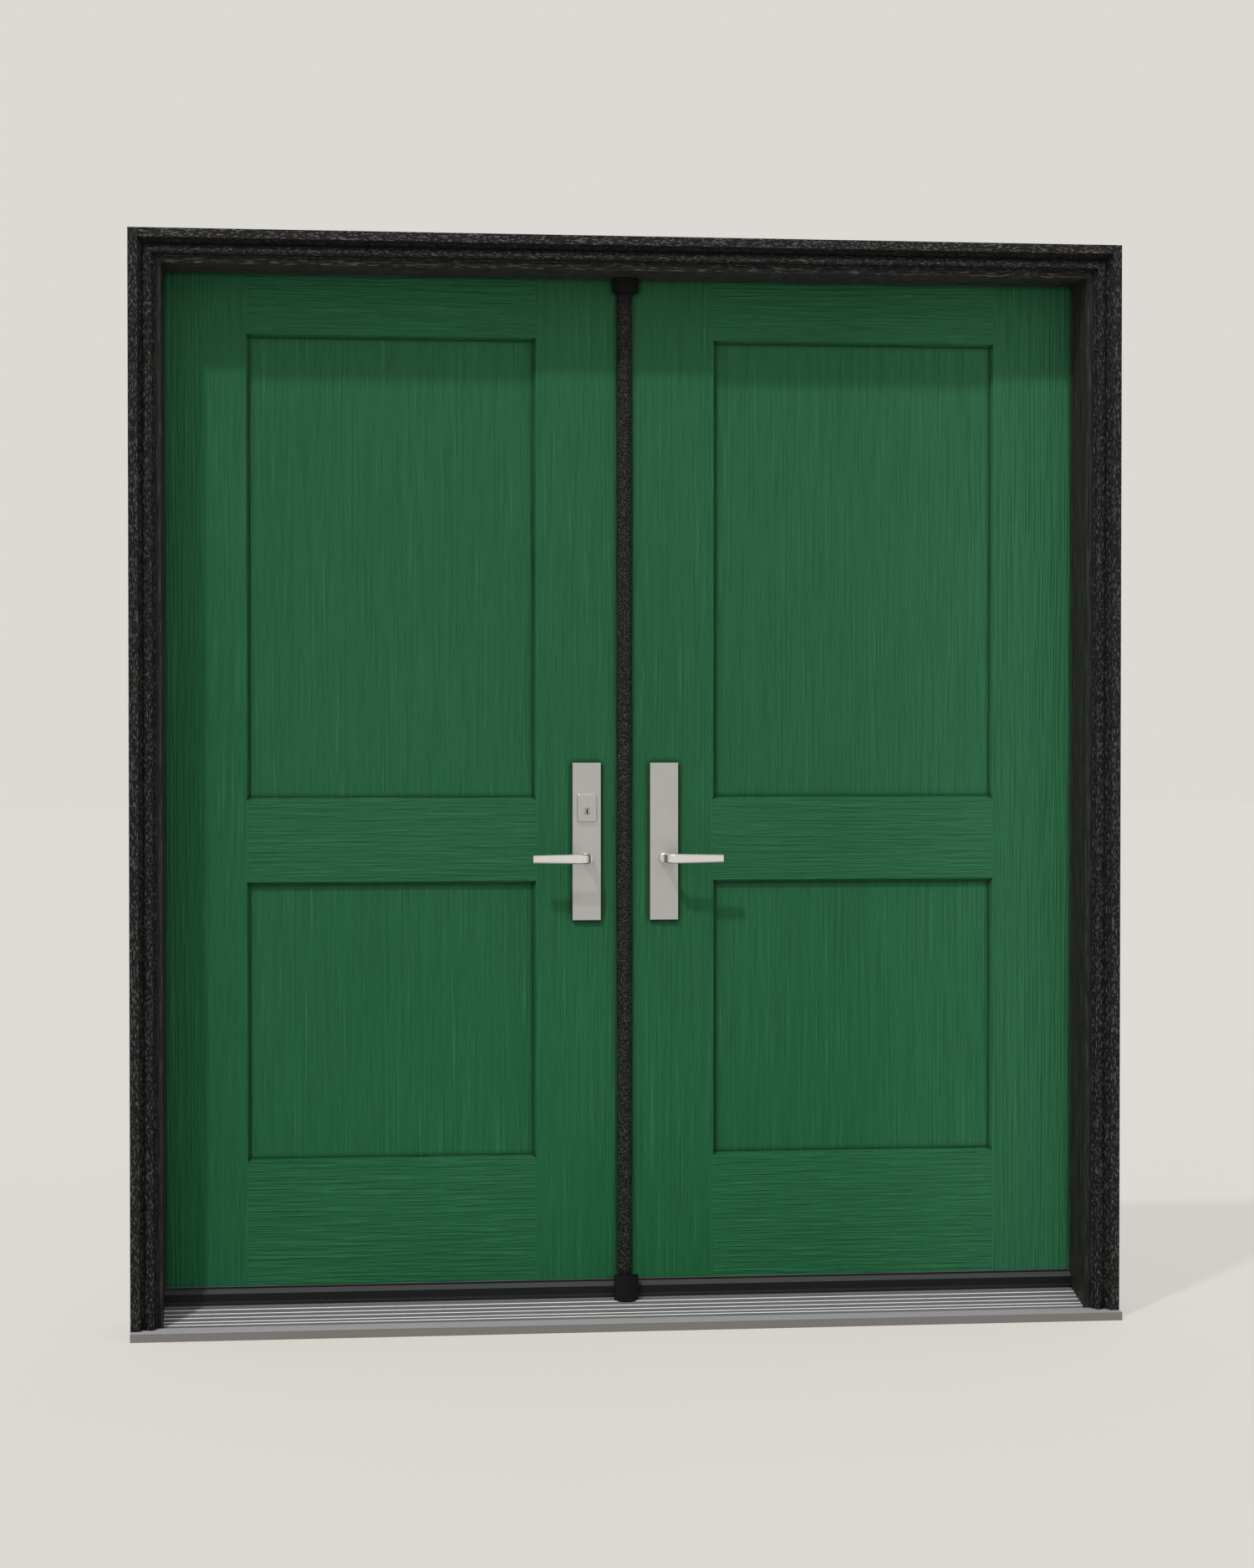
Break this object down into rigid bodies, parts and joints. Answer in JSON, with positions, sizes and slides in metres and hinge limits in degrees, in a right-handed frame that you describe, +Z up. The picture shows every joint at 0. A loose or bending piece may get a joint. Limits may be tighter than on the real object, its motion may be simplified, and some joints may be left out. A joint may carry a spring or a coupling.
{
  "type": "double doors",
  "caption": "Pair of inward-swinging panelled entrance doors in a moulded frame, with ribbed threshold, cover bar and lever handles on long plates.",
  "frame": {"origin": "middle of the doorway on the underside of the threshold, in the plane of the wall's outer face", "axes": "+X to the right seen from outside, +Y into the building, +Z up"},
  "size_m": [1.956, 0.2774, 2.1395],
  "materials": {
    "frame_jamb": "satin black paint over fine grain",
    "frame_moulding": "black paint with a fine speckled grain",
    "sill_core": "dark composite",
    "sill_metal": "mill finish, ribbed",
    "sill_cap": "black composite",
    "seal_rubber": "soft black",
    "block_plastic": "smooth black",
    "cover_bar": "black paint with a fine speckled grain",
    "leaf_stile": "green stain with upright grain",
    "leaf_rail": "green stain with level grain",
    "leaf_panel": "green stain with upright grain",
    "hinge_steel": "satin nickel plate",
    "screw_steel": "satin nickel plate",
    "lock_steel": "zinc plate",
    "plate_nickel": "satin nickel",
    "lever_nickel": "satin nickel",
    "cylinder_nickel": "nickel-plated brass"
  },
  "bodies": {
    "frame": {"left_jamb": "frame_jamb", "right_jamb": "frame_jamb", "head_jamb": "frame_jamb", "left_brickmould": "frame_moulding", "right_brickmould": "frame_moulding", "head_brickmould": "frame_moulding", "threshold_base": "sill_core", "threshold_deck": "sill_metal", "sill_cap": "sill_cap", "side_weatherstrips": "seal_rubber", "head_weatherstrip": "seal_rubber", "astragal_head_block": "block_plastic", "astragal_sill_block": "block_plastic", "frame_hinge_leaves": "hinge_steel", "hinge_pins": "hinge_steel", "frame_hinge_screws": "screw_steel", "bolt_keeps": "lock_steel"},
    "active_leaf": {"active_hinge_stile": "leaf_stile", "active_lock_stile": "leaf_stile", "active_top_rail": "leaf_rail", "active_lock_rail": "leaf_rail", "active_bottom_rail": "leaf_rail", "active_upper_panel": "leaf_panel", "active_lower_panel": "leaf_panel", "active_sweep": "seal_rubber", "active_hinge_leaves": "hinge_steel", "active_hinge_screws": "screw_steel", "active_outer_plate": "plate_nickel", "active_inner_plate": "plate_nickel", "active_lock_case": "lock_steel", "cylinder_guard": "plate_nickel", "key_cylinder": "cylinder_nickel"},
    "passive_leaf": {"passive_hinge_stile": "leaf_stile", "passive_lock_stile": "leaf_stile", "passive_top_rail": "leaf_rail", "passive_lock_rail": "leaf_rail", "passive_bottom_rail": "leaf_rail", "passive_upper_panel": "leaf_panel", "passive_lower_panel": "leaf_panel", "passive_sweep": "seal_rubber", "passive_hinge_leaves": "hinge_steel", "passive_hinge_screws": "screw_steel", "passive_outer_plate": "plate_nickel", "passive_inner_plate": "plate_nickel", "passive_bolt_case": "lock_steel", "astragal": "cover_bar", "astragal_seal": "seal_rubber", "strike_plate": "lock_steel"},
    "active_lever": {"active_outer_lever": "lever_nickel", "active_inner_lever": "lever_nickel", "active_spindle": "lock_steel"},
    "passive_lever": {"passive_outer_lever": "lever_nickel", "passive_inner_lever": "lever_nickel", "passive_spindle": "lock_steel"},
    "latch_bolt": {"latch_bolt": "lock_steel"},
    "deadbolt": {"deadbolt": "lock_steel"},
    "thumbturn": {"thumbturn": "lever_nickel"},
    "key_plug": {"key_plug": "cylinder_nickel"},
    "top_shoot_bolt": {"top_shoot_bolt": "lock_steel"},
    "bottom_shoot_bolt": {"bottom_shoot_bolt": "lock_steel"}
  },
  "joints": [
    {"name": "active_swing", "type": "hinge", "parent": "frame", "child": "active_leaf", "pos_m": [-0.9254, 0.16525, 1.081], "axis": [0, 0, 1], "range_deg": [0, 110]},
    {"name": "passive_swing", "type": "hinge", "parent": "frame", "child": "passive_leaf", "pos_m": [0.9254, 0.16525, 1.081], "axis": [0, 0, -1], "range_deg": [0, 99]},
    {"name": "active_lever_turn", "type": "hinge", "parent": "active_leaf", "child": "active_lever", "pos_m": [-0.078, 0.13673, 0.9203], "axis": [0, -1, 0], "range_deg": [0, 45], "stiffness_Nm_per_rad": 1.2, "springref_deg": -34.38},
    {"name": "passive_lever_turn", "type": "hinge", "parent": "passive_leaf", "child": "passive_lever", "pos_m": [0.078, 0.13673, 0.9203], "axis": [0, 1, 0], "range_deg": [0, 45], "stiffness_Nm_per_rad": 1.2, "springref_deg": -34.38},
    {"name": "latch_slide", "type": "slide", "parent": "active_leaf", "child": "latch_bolt", "axis": [-1, 0, 0], "range_m": [0, 0.012]},
    {"name": "thumbturn_turn", "type": "hinge", "parent": "active_leaf", "child": "thumbturn", "pos_m": [-0.078, 0.17, 1.013], "axis": [0, 1, 0], "range_deg": [0, 90]},
    {"name": "deadbolt_slide", "type": "slide", "parent": "active_leaf", "child": "deadbolt", "axis": [1, 0, 0], "range_m": [0, 0.025]},
    {"name": "key_plug_turn", "type": "hinge", "parent": "active_leaf", "child": "key_plug", "pos_m": [-0.078, 0.1, 1.013], "axis": [0, 1, 0], "range_deg": [0, 90]},
    {"name": "top_bolt_slide", "type": "slide", "parent": "passive_leaf", "child": "top_shoot_bolt", "axis": [0, 0, -1], "range_m": [0, 0.018]},
    {"name": "bottom_bolt_slide", "type": "slide", "parent": "passive_leaf", "child": "bottom_shoot_bolt", "axis": [0, 0, 1], "range_m": [0, 0.018]}
  ],
  "couplings": [
    {"joint": "passive_swing", "follows": "active_swing", "ratio": 0.9},
    {"joint": "latch_slide", "follows": "active_lever_turn", "m_per_rad": 0.01527},
    {"joint": "top_bolt_slide", "follows": "passive_lever_turn", "m_per_rad": 0.02291},
    {"joint": "bottom_bolt_slide", "follows": "passive_lever_turn", "m_per_rad": 0.02291},
    {"joint": "thumbturn_turn", "follows": "deadbolt_slide", "rad_per_m": 62.83},
    {"joint": "key_plug_turn", "follows": "deadbolt_slide", "rad_per_m": 62.83}
  ]
}
